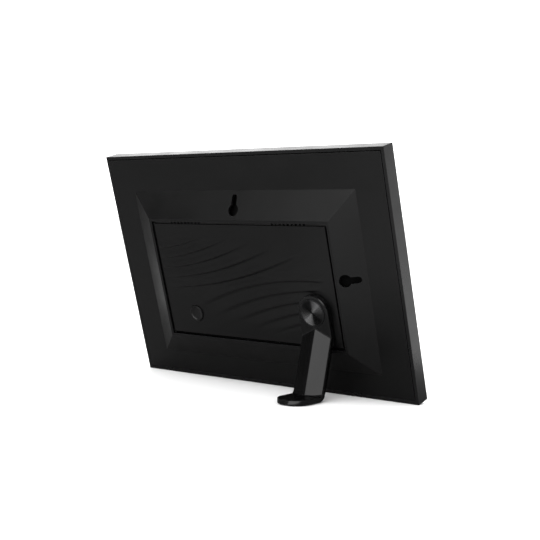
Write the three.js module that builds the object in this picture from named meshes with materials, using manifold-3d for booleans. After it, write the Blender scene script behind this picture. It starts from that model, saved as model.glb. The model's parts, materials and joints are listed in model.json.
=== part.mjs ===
// A 10.1 inch digital photo frame: glass and display in a moulded bezel, a raised
// rear cover with hanging keyholes, and a stand that turns a quarter turn on the back.
//
// Units are millimetres. The finished part stands on Z = 0 with its display facing -Y.
// Everything is modelled upright in the casing's own axes, and one group leans it back:
//   x  across the frame, towards the left of somebody who looks at its back
//   y  out of the back of the frame, 0 at the rear edge of the bezel
//   z  up the frame, 0 at half its height
import * as THREE from 'three';
import { mergeVertices } from 'three/addons/utils/BufferGeometryUtils.js';
import Module from 'manifold-3d';

const wasm = await Module();
wasm.setup();

// ---------------------------------------------------------------- driving dimensions

const rest_gap = 0.3; // between pieces that rest on or butt against each other
const round_steps = 32; // sides of a visible round
const small_steps = 14; // sides of a small or hidden round
const vent_steps = 8;
const bend_steps = 8; // flats in the bend of the foot

// casing
const frame_width = 262;
const frame_height = 181.5;
const bezel_depth = 11.4;
const bezel_wall = 2.5;
const lean_deg = 16; // from the vertical

// glass and display, front to back
const glass_thickness = 1.5;
const ledge_thickness = 1.5; // bezel ledge behind the glass
const tray_margin_side = 16.25; // display tray to the outside of the bezel
const tray_margin_end = 16.1; // the same at the top and the bottom
const tray_wall = 0.6;
const cell_thickness = 1.0;
const guide_thickness = 1.8;

// rear cover: an almost flat ring, a steep slope and a level top
const cover_wall = 2;
const seam_gap = 0.5; // visible gap to the bezel all round
const ring_rise = 1; // height of the ring's inner edge
const raised_height = 10.3; // of the level top above the seam
const ring_side = 23; // seam to the foot of the side slopes
const ring_top = 24.95;
const ring_bottom = 16.75;
const slope_side = 19.5; // foot of the slope to the edge of the level top
const slope_top = 19.8;
const slope_bottom = 17.5;
const skirt_depth = 2.5;
const skirt_wall = 1.2;

// insert panel, which lies in a pocket of the level top
const land_width = 2; // level strip around the pocket
const groove_width = 2; // gap around the panel
const pocket_depth = 3;
const pocket_wall = 1.5; // of the tub that the pocket makes inside
const panel_thickness = 2;

// keyholes in the top slope and in one side slope
const keyhole_head_r = 4.6;
const keyhole_slot_r = 2.45;
const keyhole_run = 9.2; // head centre to slot centre
const keyhole_top_start = 7.4; // head centre from the level top, along the top slope
const keyhole_side_start = 5.7; // the same along the side slope
const cup_wall = 0.9;
const cup_margin = 1; // around the keyhole

// vent holes in the groove above the panel
const vent_r = 0.95;
const vent_pitch = 3.55;
const vents_per_group = 9;
const vent_from_side = 34.3; // middle of a group to the pocket's side

// stand: one strip with a head, a leg with a ridge and a foot
const pivot_from_edge = 68; // to the bottom edge and to the side edge
const stand_width = 25.6;
const strip_thickness = 3.8;
const head_reach = 17.9; // pivot to the bend below the head
const leg_angle_deg = 30; // out of the back plane
const ridge_rise = 3.15;
const foot_top_height = 4.3; // above the ground
const foot_bend_r = 2.9;
const foot_length = 13.2; // bend below the leg to the centre of the round end
const pad_thickness = 1.1;
const pad_inset = 2.2;
const pad_length = 12; // straight part of the pad
const disc_border = 2.6; // disc to the edge of the round head
const disc_thickness = 1.8;
const disc_proud = 0.5;
const spigot_r = 6;
const spigot_clearance = 0.4;

// pivot fastening inside the cover
const washer_r = 9.5;
const washer_thickness = 0.7;
const retainer_r = 11;
const retainer_thickness = 1.5;
const lug_width = 6;
const lug_reach = 15.5;
const stop_width = 2.5;
const stop_gap = 0.4;
const pivot_screw_r = 1.5;
const pivot_screw_head_r = 3.5;
const pivot_screw_head = 1.5;
const nut_across = 5.5;
const nut_thickness = 2.1;
const screw_past_nut = 0.5;

// power button and what it presses
const button_from_side = 27.7; // middle of the button to the edge of the insert panel
const button_from_bottom = 16.8;
const button_r = 6.2;
const button_proud = 1.0;
const button_dish = 0.5;
const button_rim = 1; // flat ring around the dish
const button_clearance = 0.4;
const button_flange = 0.9; // width and thickness of the retaining flange
const button_stem_r = 2;
const button_travel = 0.6;
const plunger_r = 1.7;
const plunger_height = 1.7;
const switch_size = 6;
const switch_height = 2.3;
const switch_floor = 0.6;

// chassis plate behind the display, and the screws that go into it
const chassis_thickness = 1;
const chassis_inset_side = 0.75; // plate inside the edge of the display tray
const chassis_inset_end = 5.25; // plate inside the bezel's walls at the top and bottom
const stud_r = 3;
const cover_screw_inset = 7; // from the pocket's sides
const screw_r = 1.2;
const screw_head_r = 3;
const screw_head = 1.5;
const driver_share = 0.45; // driver socket's radius, as a share of the screw head's
const driver_depth_share = 0.6;
const chassis_screw_inset_x = 18;
const chassis_screw_inset_z = 4;

// boards and what is on them
const board_thickness = 1.6;
const board_below_ceiling = 5; // component side of the board to the inside of the level top
const board_from_pivot = 25;
const board_from_side = 13.5; // board inside the edge of the insert panel
const board_from_bottom = 3.5;
const board_below_speakers = 6;
const board_screw_inset = 4;
const can_wall = 0.4;
const can_height = 2.4;
const can_from_left = 6; // board's edge to the can
const can_from_end = 12; // the same at the top and the bottom
const can_from_button = 27;
const port_board_width = 10;
const port_board_height = 46;
const port_board_thickness = 1;
const usb_width = 8.9;
const usb_height = 3.2;
const usb_length = 7.5;
const usb_shell = 0.35;
const usb_inset = 0.4; // mouth behind the outside of the bezel
const usb_tongue_width = 6.6;
const usb_tongue_thickness = 0.7;
const usb_z = 9;
const card_width = 14;
const card_height = 1.9;
const card_slot_height = 1;
const card_wall = 1; // beside and behind the slot
const card_z = -12;
const speaker_width = 34;
const speaker_height = 15;
const speaker_depth = 5;
const speaker_gap = 1; // speaker to the inside of the level top
const cone_depth = 1.2;
const cone_border = 1.5;
const antenna_from_screw = 28; // middle of the antenna to the chassis screws beside it
const antenna_length = 40;
const antenna_width = 8;
const antenna_thickness = 0.6;
const cable_width = 18;
const cable_thickness = 0.4;
const cable_lap = 5; // length of cable on the board
const cable_bow = 1.5; // cable below the chassis plate

// ---------------------------------------------------------------- derived places

const rad = THREE.MathUtils.degToRad;
const lean = rad(lean_deg);
const leg_angle = rad(leg_angle_deg);

const half_width = frame_width / 2;
const half_height = frame_height / 2;
const inner_x = half_width - bezel_wall;
const inner_z = half_height - bezel_wall;
const tray_x = half_width - tray_margin_side;
const tray_z = half_height - tray_margin_end;

const glass_front = -bezel_depth;
const glass_back = glass_front + glass_thickness;
const ledge_front = glass_back + rest_gap;
const ledge_back = ledge_front + ledge_thickness;
const cell_front = ledge_front;
const cell_back = cell_front + cell_thickness;
const guide_front = cell_back + rest_gap;
const guide_back = guide_front + guide_thickness;
const tray_floor = guide_back + rest_gap;
const tray_back = tray_floor + tray_wall;
const chassis_front = tray_back + rest_gap;
const chassis_back = chassis_front + chassis_thickness;

const seam_x = inner_x - seam_gap;
const seam_z = inner_z - seam_gap;
const foot_side = seam_x - ring_side; // centre to the foot of each slope
const foot_top = seam_z - ring_top;
const foot_bottom = seam_z - ring_bottom;
const top_side = foot_side - slope_side; // centre to the edge of the level top
const top_top = foot_top - slope_top;
const top_bottom = foot_bottom - slope_bottom;
const pocket_floor = raised_height - pocket_depth;
const ceiling = pocket_floor - cover_wall; // inner face of the level top
const pocket_side = top_side - land_width;
const pocket_top = top_top - land_width;
const pocket_bottom = top_bottom - land_width;
const panel_side = pocket_side - groove_width;
const panel_top = pocket_top - groove_width;
const panel_bottom = pocket_bottom - groove_width;
const panel_back = pocket_floor + rest_gap;
const panel_face = panel_back + panel_thickness;

const pivot_x = -(half_width - pivot_from_edge);
const pivot_z = -(half_height - pivot_from_edge);
const head_back = raised_height + rest_gap; // it passes over the level top as it turns
const head_face = head_back + strip_thickness;
const disc_r = stand_width / 2 - disc_border;

const vent_group_x = pocket_side - vent_from_side;
const button_x = panel_side - button_from_side;
const button_z = button_from_bottom - panel_bottom;
const chassis_side = tray_x - chassis_inset_side;
const chassis_reach = inner_z - chassis_inset_end;
const chassis_screw_x = chassis_side - chassis_screw_inset_x;
const chassis_screw_z = chassis_reach - chassis_screw_inset_z;

const board_back = ceiling - board_below_ceiling;
const board_front = board_back - board_thickness;
const board_left = pivot_x + board_from_pivot;
const board_right = panel_side - board_from_side;
const board_bottom = board_from_bottom - panel_bottom;
const speaker_z = (pocket_top + panel_top) / 2; // under the vent holes
const board_top = speaker_z - speaker_height / 2 - board_below_speakers;

// A face of a slope has its own axes: across it, down it from the level top, and out of it.
const slope_rise = raised_height - ring_rise;
const slopes = {
  top: { from: top_top, to: foot_top, turn: 0, start: keyhole_top_start },
  side: { from: top_side, to: foot_side, turn: Math.PI / 2, start: keyhole_side_start },
};

// ---------------------------------------------------------------- solids and helpers

function solid(geometry) {
  const bare = geometry.index ? geometry.clone() : geometry;
  bare.deleteAttribute('normal');
  bare.deleteAttribute('uv');
  const merged = mergeVertices(bare, 1e-4);
  return new wasm.Manifold(
    new wasm.Mesh({
      numProp: 3,
      vertProperties: new Float32Array(merged.attributes.position.array),
      triVerts: new Uint32Array(merged.index.array),
    }),
  );
}

function join(first, ...others) {
  return others.reduce((sum, other) => sum.add(other), first);
}

function cut(first, ...others) {
  return others.reduce((rest, other) => rest.subtract(other), first);
}

function box(x0, x1, y0, y1, z0, z1) {
  const geometry = new THREE.BoxGeometry(x1 - x0, y1 - y0, z1 - z0);
  geometry.translate((x0 + x1) / 2, (y0 + y1) / 2, (z0 + z1) / 2);
  return solid(geometry);
}

// A round bar or disc whose axis runs out of the back.
function round(x, z, radius, y0, y1, steps = small_steps) {
  const geometry = new THREE.CylinderGeometry(radius, radius, y1 - y0, steps);
  geometry.translate(x, (y0 + y1) / 2, z);
  return solid(geometry);
}

// What a hole right through a plate from y0 to y1 takes away.
function bore(x, z, radius, y0, y1, steps) {
  return round(x, z, radius, y0 - 1, y1 + 1, steps);
}

// An outline drawn in x and z, made solid from y0 to y1.
function plate(outline, y0, y1, curveSegments = small_steps) {
  const geometry = new THREE.ExtrudeGeometry(outline, {
    depth: y1 - y0,
    bevelEnabled: false,
    curveSegments,
  });
  geometry.rotateX(Math.PI / 2);
  geometry.translate(0, y1, 0);
  return solid(geometry);
}

// An outline drawn in y and z, made solid over a width centred on x.
function profile(outline, x, width, curveSegments = small_steps) {
  const geometry = new THREE.ExtrudeGeometry(outline, {
    depth: width,
    bevelEnabled: false,
    curveSegments,
  });
  const axes = new THREE.Matrix4().makeBasis(
    new THREE.Vector3(0, 1, 0),
    new THREE.Vector3(0, 0, 1),
    new THREE.Vector3(1, 0, 0),
  );
  geometry.applyMatrix4(axes);
  geometry.translate(x - width / 2, 0, 0);
  return solid(geometry);
}

function rectangle(x0, x1, z0, z1) {
  return [
    [x0, z0],
    [x1, z0],
    [x1, z1],
    [x0, z1],
  ];
}

// A solid that passes through rectangles stacked in y: [y, x0, x1, z0, z1] each.
function stack(levels) {
  const points = [];
  for (const [y, ...sides] of levels) {
    for (const [x, z] of rectangle(...sides)) {
      points.push(x, y, z);
    }
  }
  const faces = [0, 1, 2, 0, 2, 3];
  for (let level = 0; level + 1 < levels.length; level += 1) {
    for (let side = 0; side < 4; side += 1) {
      const a = level * 4 + side;
      const b = level * 4 + ((side + 1) % 4);
      faces.push(a, a + 4, b + 4, a, b + 4, b);
    }
  }
  const last = (levels.length - 1) * 4;
  faces.push(last, last + 2, last + 1, last, last + 3, last + 2);
  const geometry = new THREE.BufferGeometry();
  geometry.setAttribute('position', new THREE.Float32BufferAttribute(points, 3));
  geometry.setIndex(faces);
  return solid(geometry);
}

// The raised outline of the cover at a height, as four sides.
function raisedOutline(height) {
  const share = (height - ring_rise) / slope_rise;
  const side = THREE.MathUtils.lerp(foot_side, top_side, share);
  const top = THREE.MathUtils.lerp(foot_top, top_top, share);
  const bottom = THREE.MathUtils.lerp(foot_bottom, top_bottom, share);
  return [-side, side, -bottom, top];
}

// Moves a solid from a slope's own axes to the casing. In the slope's axes x runs across,
// z runs down the slope from the edge of the level top, and y runs out of the slope.
function slopeFall({ from, to }) {
  return Math.atan2(slope_rise, to - from);
}

function onSlope(shape, slope) {
  const matrix = new THREE.Matrix4()
    .makeRotationY(-slope.turn)
    .multiply(new THREE.Matrix4().makeTranslation(0, raised_height, slope.from))
    .multiply(new THREE.Matrix4().makeRotationX(slopeFall(slope)));
  return shape.transform(matrix.elements);
}

const group = new THREE.Group();
group.name = 'digital_photo_frame';
group.rotation.x = -lean;

function colour(hex, roughness, metalness = 0) {
  return new THREE.MeshStandardMaterial({ color: hex, roughness, metalness });
}

const finishes = {
  casing: () => colour(0x1a1a1b, 0.42),
  cover: () => colour(0x212122, 0.45),
  insert: () => colour(0x232324, 0.4),
  glass: () => colour(0x08090b, 0.06),
  display: () => colour(0x101216, 0.2),
  light: () => colour(0xe8ecef, 0.3),
  steel: () => colour(0x9a9c9f, 0.35, 1),
  spun: () => colour(0x6c6d70, 0.25, 1),
  stand: () => colour(0x2a2a2c, 0.4, 0.3),
  rubber: () => colour(0x161616, 0.85),
  board: () => colour(0x0f4a2c, 0.5),
  part: () => colour(0x1d1d1f, 0.5),
  copper: () => colour(0xb5733a, 0.35, 1),
  cable: () => colour(0xc9892f, 0.45),
};

function place(name, shape, finish) {
  const { vertProperties, triVerts, numProp } = shape.getMesh();
  const points = new Float32Array((vertProperties.length / numProp) * 3);
  for (let i = 0; i < points.length / 3; i += 1) {
    points.set(vertProperties.subarray(i * numProp, i * numProp + 3), i * 3);
  }
  const geometry = new THREE.BufferGeometry();
  geometry.setAttribute('position', new THREE.BufferAttribute(points, 3));
  geometry.setIndex(new THREE.BufferAttribute(new Uint32Array(triVerts), 1));
  geometry.computeVertexNormals();
  const mesh = new THREE.Mesh(geometry, finishes[finish]());
  mesh.name = name;
  group.add(mesh);
}

// ---------------------------------------------------------------- bezel, glass, display

const chassis_corners = [
  [-chassis_screw_x, -chassis_screw_z],
  [chassis_screw_x, -chassis_screw_z],
  [-chassis_screw_x, chassis_screw_z],
  [chassis_screw_x, chassis_screw_z],
];

// The ports sit behind the ledge, in the side wall that is on the right seen from the front.
const port_board_front = ledge_back + rest_gap;
const port_board_back = port_board_front + port_board_thickness;
const port_front = port_board_back + rest_gap;

function ringBetween(x_out, z_out, x_in, z_in, y0, y1) {
  const outer = box(-x_out, x_out, y0, y1, -z_out, z_out);
  return cut(outer, box(-x_in, x_in, y0 - 1, y1 + 1, -z_in, z_in));
}

function frontBezel() {
  const window_x = tray_x + 2 * rest_gap;
  const window_z = tray_z + 2 * rest_gap;
  const wall = ringBetween(half_width, half_height, inner_x, inner_z, -bezel_depth, 0);
  const reach = bezel_wall / 2; // the ledge runs into the wall this far
  const ledge = ringBetween(
    inner_x + reach, inner_z + reach, window_x, window_z, ledge_front, ledge_back,
  );
  let bezel = join(wall, ledge);
  const post_top = chassis_front - rest_gap;
  for (const [x, z] of chassis_corners) {
    bezel = join(bezel, round(x, z, stud_r, ledge_front + ledge_thickness / 2, post_top));
  }
  for (const [x, z] of chassis_corners) {
    bezel = cut(bezel, round(x, z, screw_r + rest_gap, ledge_back, post_top + 1));
  }
  const usb_mid = port_front + usb_height / 2;
  const usb_half = usb_height / 2 + rest_gap;
  const usb_reach = usb_width / 2 + rest_gap;
  const card_mid = port_front + card_height / 2;
  const card_half = card_slot_height / 2;
  const card_reach = card_width / 2 - card_wall;
  const [near, far] = [inner_x - 1, half_width + 1];
  return cut(
    bezel,
    box(near, far, usb_mid - usb_half, usb_mid + usb_half, usb_z - usb_reach, usb_z + usb_reach),
    box(near, far, card_mid - card_half, card_mid + card_half, card_z - card_reach, card_z + card_reach),
  );
}

function coverGlass() {
  const x = inner_x - rest_gap;
  const z = inner_z - rest_gap;
  return box(-x, x, glass_front, glass_back, -z, z);
}

function backlightTray() {
  const x = tray_x;
  const z = tray_z;
  const outer = box(-x, x, cell_front, tray_back, -z, z);
  const wall = tray_wall;
  return cut(outer, box(-x + wall, x - wall, cell_front - 1, tray_floor, -z + wall, z - wall));
}

function inTray(y0, y1) {
  const x = tray_x - tray_wall - rest_gap;
  const z = tray_z - tray_wall - rest_gap;
  return box(-x, x, y0, y1, -z, z);
}

place('front_bezel', frontBezel(), 'casing');
place('cover_glass', coverGlass(), 'glass');
place('lcd_cell', inTray(cell_front, cell_back), 'display');
place('light_guide', inTray(guide_front, guide_back), 'light');
place('backlight_tray', backlightTray(), 'steel');

// ---------------------------------------------------------------- rear cover

const cover_screw_x = pocket_side - cover_screw_inset;
const cover_screws = [
  [-cover_screw_x, cover_screw_inset - pocket_bottom],
  [cover_screw_x, cover_screw_inset - pocket_bottom],
  [-cover_screw_x, pocket_top - cover_screw_inset],
  [cover_screw_x, pocket_top - cover_screw_inset],
];
const boss_r = screw_head_r + 1.5;
const boss_back = ceiling - cover_wall; // lower end of each screw boss
const washer_top = ceiling - rest_gap;
const washer_bottom = washer_top - washer_thickness;
const spigot_end = washer_bottom - rest_gap;
const retainer_top = spigot_end - rest_gap;
const retainer_bottom = retainer_top - retainer_thickness;

// A keyhole through a slope, in the slope's own axes and grown by a margin.
function keyhole({ start }, margin, y0, y1) {
  const head = keyhole_head_r + margin;
  const slot = keyhole_slot_r + margin;
  const far = start + keyhole_run;
  return join(
    round(0, start, head, y0, y1, round_steps),
    box(-slot, slot, y0, y1, start, far),
    round(0, far, slot, y0, y1, round_steps),
  );
}

function ventHoles() {
  const middle = (vents_per_group - 1) / 2;
  const holes = [];
  for (const side of [-1, 1]) {
    for (let i = 0; i < vents_per_group; i += 1) {
      const x = side * vent_group_x + (i - middle) * vent_pitch;
      holes.push(round(x, speaker_z, vent_r, ceiling - 1, pocket_floor + 1, vent_steps));
    }
  }
  return holes;
}

// Two ribs stop the retainer's lug at the two ends of the stand's travel.
function travelStops() {
  const near = lug_width / 2 + stop_gap;
  const far = near + stop_width;
  const inner = retainer_r + 2 * rest_gap;
  const top = ceiling + cover_wall / 2;
  const [low, reach] = [retainer_bottom, lug_reach];
  const start = box(pivot_x - far, pivot_x - near, low, top, pivot_z + inner, pivot_z + reach);
  const end = box(pivot_x + inner, pivot_x + reach, low, top, pivot_z - far, pivot_z - near);
  return [start, end];
}

// The outside of the tub that the pocket makes under the level top, grown by a margin.
function pocketTub(margin) {
  const grown = pocket_wall + margin;
  return box(
    -pocket_side - grown, pocket_side + grown, ceiling - margin, raised_height - cover_wall / 4,
    -pocket_bottom - grown, pocket_top + grown,
  );
}

function rearCover() {
  const shelf = cover_wall + 0.2; // wall measured straight through a slope
  const outside = stack([
    [-cover_wall, -seam_x, seam_x, -seam_z, seam_z],
    [0, -seam_x, seam_x, -seam_z, seam_z],
    [ring_rise, ...raisedOutline(ring_rise)],
    [raised_height, ...raisedOutline(raised_height)],
  ]);
  const edge = 1;
  const inside = stack([
    [-cover_wall - 1, -seam_x + edge, seam_x - edge, -seam_z + edge, seam_z - edge],
    [-cover_wall, -seam_x + edge, seam_x - edge, -seam_z + edge, seam_z - edge],
    [ring_rise - cover_wall, ...raisedOutline(ring_rise - cover_wall + shelf)],
    [raised_height - 1.25 * cover_wall, ...raisedOutline(raised_height - 1.25 * cover_wall + shelf)],
  ]);
  const above = raised_height + 1;
  const pocket = box(-pocket_side, pocket_side, pocket_floor, above, -pocket_bottom, pocket_top);
  const skirt_x = seam_x - rest_gap;
  const skirt_z = seam_z - rest_gap;
  const skirt = ringBetween(
    skirt_x, skirt_z, skirt_x - skirt_wall, skirt_z - skirt_wall,
    -cover_wall - skirt_depth, -cover_wall / 2,
  );
  const bosses = cover_screws.map(([x, z]) => round(x, z, boss_r, boss_back, ceiling + 1));
  const seat_r = screw_head_r + rest_gap;
  const seats = cover_screws.map(([x, z]) => round(x, z, seat_r, ceiling, pocket_floor + 1));
  const bores = cover_screws.map(([x, z]) => bore(x, z, screw_r + rest_gap, boss_back, ceiling));
  const port_gap = 1;
  const port_notch = box(
    skirt_x - 2 * skirt_wall, seam_x + 1, -cover_wall - skirt_depth - 1, -cover_wall - 0.05,
    -port_board_height / 2 - port_gap, port_board_height / 2 + port_gap,
  );
  const shell = cut(join(cut(outside, inside), pocketTub(0)), pocket);
  return cut(
    join(shell, cut(skirt, port_notch), ...bosses, ...travelStops()),
    ...seats,
    ...bores,
    ...ventHoles(),
    onSlope(keyhole(slopes.top, 0, -2 * cover_wall, 2 * cover_wall), slopes.top),
    onSlope(keyhole(slopes.side, 0, -2 * cover_wall, 2 * cover_wall), slopes.side),
    bore(pivot_x, pivot_z, spigot_r + spigot_clearance, ceiling, pocket_floor, round_steps),
    bore(button_x, button_z, button_r + button_clearance, ceiling, pocket_floor, round_steps),
  );
}

// A cup closes each keyhole from inside and gives a wall screw's head its room. Its floor
// reaches down to the chassis plate at the narrow end.
function keyholeCup(slope) {
  const fall = slopeFall(slope);
  const reach = slope.start + keyhole_run + keyhole_slot_r + cup_margin + cup_wall;
  const room = raised_height - reach * Math.sin(fall) - chassis_back - rest_gap;
  const floor = -room / Math.cos(fall);
  const mouth = -cover_wall - 2 * rest_gap;
  const outer = keyhole(slope, cup_margin + cup_wall, floor, mouth);
  const cup = cut(outer, keyhole(slope, cup_margin, floor + cup_wall, mouth + 1));
  return cut(onSlope(cup, slope), pocketTub(rest_gap));
}

function insertPanel() {
  const slab = box(-panel_side, panel_side, panel_back, panel_face, -panel_bottom, panel_top);
  return cut(
    slab,
    bore(pivot_x, pivot_z, spigot_r + spigot_clearance, panel_back, panel_face, round_steps),
    bore(button_x, button_z, button_r + button_clearance, panel_back, panel_face, round_steps),
  );
}

place('rear_cover', rearCover(), 'cover');
place('insert_panel', insertPanel(), 'insert');
place('keyhole_cup_top', keyholeCup(slopes.top), 'part');
place('keyhole_cup_side', keyholeCup(slopes.side), 'part');

// ---------------------------------------------------------------- chassis and screws

// A screw whose head faces the back; the shank runs towards the display.
function screw(x, z, seat, end, shank_r, head_r, head_height) {
  const socket_floor = seat + (1 - driver_depth_share) * head_height;
  const head = round(x, z, head_r, seat, seat + head_height);
  const socket = round(x, z, driver_share * head_r, socket_floor, seat + head_height + 1, 6);
  return cut(join(head, round(x, z, shank_r, end, seat + head_height / 4)), socket);
}

const board_corners = [
  [board_left + board_screw_inset, board_bottom + board_screw_inset],
  [board_right - board_screw_inset, board_bottom + board_screw_inset],
  [board_left + board_screw_inset, board_top - board_screw_inset],
  [board_right - board_screw_inset, board_top - board_screw_inset],
];

function chassisPlate() {
  const [x, z] = [chassis_side, chassis_reach];
  const sheet = box(-x, x, chassis_front, chassis_back, -z, z);
  const studs = cover_screws.map((at) => round(...at, stud_r, chassis_front, boss_back - rest_gap));
  const posts = board_corners.map((at) => round(...at, stud_r, chassis_front, board_front - rest_gap));
  const bore_r = screw_r + rest_gap;
  const holes = chassis_corners.map((at) => bore(...at, bore_r, chassis_front, chassis_back));
  const tapped = [...cover_screws, ...board_corners];
  const taps = tapped.map((at) => bore(...at, bore_r, chassis_front, boss_back));
  return cut(join(sheet, ...studs, ...posts), ...holes, ...taps);
}

place('chassis_plate', chassisPlate(), 'steel');

function placeScrews(name, places, seat, end) {
  places.forEach(([x, z], index) => {
    const shape = screw(x, z, seat + rest_gap, end, screw_r, screw_head_r, screw_head);
    place(`${name}_${index + 1}`, shape, 'steel');
  });
}

placeScrews('chassis_screw', chassis_corners, chassis_back, ledge_back + rest_gap);
placeScrews('cover_screw', cover_screws, ceiling, chassis_back);
placeScrews('board_screw', board_corners, board_back, chassis_back);

// ---------------------------------------------------------------- boards

function mainBoard() {
  const slab = box(board_left, board_right, board_front, board_back, board_bottom, board_top);
  const holes = board_corners.map((at) => bore(...at, screw_r + rest_gap, board_front, board_back));
  return cut(slab, ...holes);
}

function shieldCan() {
  const low = board_back + rest_gap;
  const top = low + can_height;
  const left = board_left + can_from_left;
  const right = button_x - can_from_button;
  const near = board_bottom + can_from_end;
  const far = board_top - can_from_end;
  const wall = can_wall;
  const inside = box(left + wall, right - wall, low - 1, top - wall, near + wall, far - wall);
  return cut(box(left, right, low, top, near, far), inside);
}

function tactSwitch() {
  const low = board_back + rest_gap;
  const half = switch_size / 2;
  const top = low + switch_height;
  const body = box(button_x - half, button_x + half, low, top, button_z - half, button_z + half);
  return cut(body, round(button_x, button_z, plunger_r + rest_gap, low + switch_floor, top + 1));
}

const plunger_low = board_back + switch_floor + button_travel + 2 * rest_gap;
const plunger_top = plunger_low + plunger_height;

function powerButton() {
  const face = panel_face + button_proud;
  const flange_top = ceiling - rest_gap;
  const cap = join(
    round(button_x, button_z, button_r, flange_top - button_flange, face, round_steps),
    round(button_x, button_z, button_r + button_clearance + button_flange, flange_top - button_flange,
      flange_top, round_steps),
    round(button_x, button_z, button_stem_r, plunger_top + rest_gap, flange_top),
  );
  const dish = solid(new THREE.SphereGeometry(1, round_steps, 16));
  const dish_r = button_r - button_rim;
  const dish_matrix = new THREE.Matrix4().makeTranslation(button_x, face, button_z);
  dish_matrix.multiply(new THREE.Matrix4().makeScale(dish_r, button_dish, dish_r));
  return cut(cap, dish.transform(dish_matrix.elements));
}

function portBoard() {
  const right = inner_x - 2 * rest_gap;
  const half = port_board_height / 2;
  return box(right - port_board_width, right, port_board_front, port_board_back, -half, half);
}

// A rounded metal shell with its mouth in the side wall, and the tongue inside it.
function usbSocket() {
  const right = half_width - usb_inset;
  const left = right - usb_length;
  const half_z = usb_width / 2;
  const mid = port_front + usb_height / 2;
  const shell = box(left, right, port_front, port_front + usb_height, usb_z - half_z, usb_z + half_z);
  const mouth = box(
    left + 1, right + 1, port_front + usb_shell, port_front + usb_height - usb_shell,
    usb_z - half_z + usb_shell, usb_z + half_z - usb_shell,
  );
  const reach = usb_tongue_width / 2;
  const half = usb_tongue_thickness / 2;
  const tongue = box(left + usb_shell, right - 1, mid - half, mid + half, usb_z - reach, usb_z + reach);
  return join(cut(shell, mouth), tongue);
}

function cardSocket() {
  const right = inner_x - rest_gap;
  const left = right - port_board_width;
  const half_z = card_width / 2;
  const mid = port_front + card_height / 2;
  const shell = box(left, right, port_front, port_front + card_height, card_z - half_z, card_z + half_z);
  const half = card_slot_height / 2;
  const reach = half_z - card_wall;
  const slot = box(left + card_wall, right + 1, mid - half, mid + half, card_z - reach, card_z + reach);
  return cut(shell, slot);
}

// A speaker faces the vent holes above it.
function speaker(x) {
  const z = speaker_z;
  const face = ceiling - speaker_gap;
  const half_z = speaker_height / 2;
  const half_x = speaker_width / 2;
  const body = box(x - half_x, x + half_x, face - speaker_depth, face, z - half_z, z + half_z);
  const cone_r = half_z - cone_border;
  const cone_x = half_x - half_z;
  const outline = new THREE.Shape();
  outline.absarc(x - cone_x, z, cone_r, Math.PI / 2, (3 * Math.PI) / 2);
  outline.absarc(x + cone_x, z, cone_r, -Math.PI / 2, Math.PI / 2);
  return cut(body, plate(outline, face - cone_depth, face + 1, 10));
}

function antenna() {
  const top = -cover_wall - 2 * rest_gap;
  const z = (foot_top + seam_z) / 2;
  const x = antenna_from_screw - chassis_screw_x;
  const half_x = antenna_length / 2;
  const half_z = antenna_width / 2;
  return box(x - half_x, x + half_x, top - antenna_thickness, top, z - half_z, z + half_z);
}

// A flat cable from the display's lower edge, round the chassis plate and onto the main board.
function displayCable() {
  const low = -chassis_reach - cable_bow;
  const near = low - cable_thickness;
  const front = tray_back - 2 * cable_thickness;
  const plate_side = chassis_back + rest_gap;
  const board_side = board_back + rest_gap;
  const rise_end = board_bottom - 2; // the cable climbs between these two heights
  const rise_start = rise_end - (board_side - plate_side);
  const outline = new THREE.Shape([
    new THREE.Vector2(front, -tray_z - rest_gap),
    new THREE.Vector2(front, near),
    new THREE.Vector2(plate_side + cable_thickness, near),
    new THREE.Vector2(plate_side + cable_thickness, rise_start),
    new THREE.Vector2(board_side + cable_thickness, rise_end),
    new THREE.Vector2(board_side + cable_thickness, board_bottom + cable_lap),
    new THREE.Vector2(board_side, board_bottom + cable_lap),
    new THREE.Vector2(board_side, rise_end + cable_thickness / 2),
    new THREE.Vector2(plate_side, rise_start + cable_thickness / 2),
    new THREE.Vector2(plate_side, low),
    new THREE.Vector2(front + cable_thickness, low),
    new THREE.Vector2(front + cable_thickness, -tray_z - rest_gap),
  ]);
  return profile(outline, (board_left + board_right) / 2, cable_width);
}

place('main_board', mainBoard(), 'board');
place('shield_can', shieldCan(), 'steel');
place('tact_switch', tactSwitch(), 'part');
place('switch_plunger', round(button_x, button_z, plunger_r, plunger_low, plunger_top), 'part');
place('power_button', powerButton(), 'cover');
place('port_board', portBoard(), 'board');
place('usb_c_socket', usbSocket(), 'steel');
place('card_socket', cardSocket(), 'steel');
place('speaker_left', speaker(vent_group_x), 'part');
place('speaker_right', speaker(-vent_group_x), 'part');
place('wifi_antenna', antenna(), 'copper');
place('display_cable', displayCable(), 'cable');

// ---------------------------------------------------------------- stand and its pivot

// In the side view, y and z of a point that is a distance behind the rear bottom edge and
// a height above the ground, and the two directions that go with them.
const along_ground = new THREE.Vector2(Math.cos(lean), Math.sin(lean));
const straight_up = new THREE.Vector2(-Math.sin(lean), Math.cos(lean));

function overGround(distance, height) {
  return new THREE.Vector2(0, -half_height)
    .addScaledVector(along_ground, distance)
    .addScaledVector(straight_up, height);
}

const bend = new THREE.Vector2(head_face, pivot_z - head_reach);
const leg_way = new THREE.Vector2(Math.sin(leg_angle), -Math.cos(leg_angle));
const leg_out = new THREE.Vector2(Math.cos(leg_angle), Math.sin(leg_angle));

// How far down the leg its face meets the top of the foot.
const bend_height = bend.clone().sub(overGround(0, 0)).dot(straight_up);
const leg_length = (bend_height - foot_top_height) / -leg_way.dot(straight_up);
const turn_at_foot = Math.acos(leg_way.dot(along_ground));
const knee = bend.clone().addScaledVector(leg_way, leg_length);
const foot_reach = knee.clone().sub(overGround(0, 0)).dot(along_ground) + foot_length;

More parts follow.
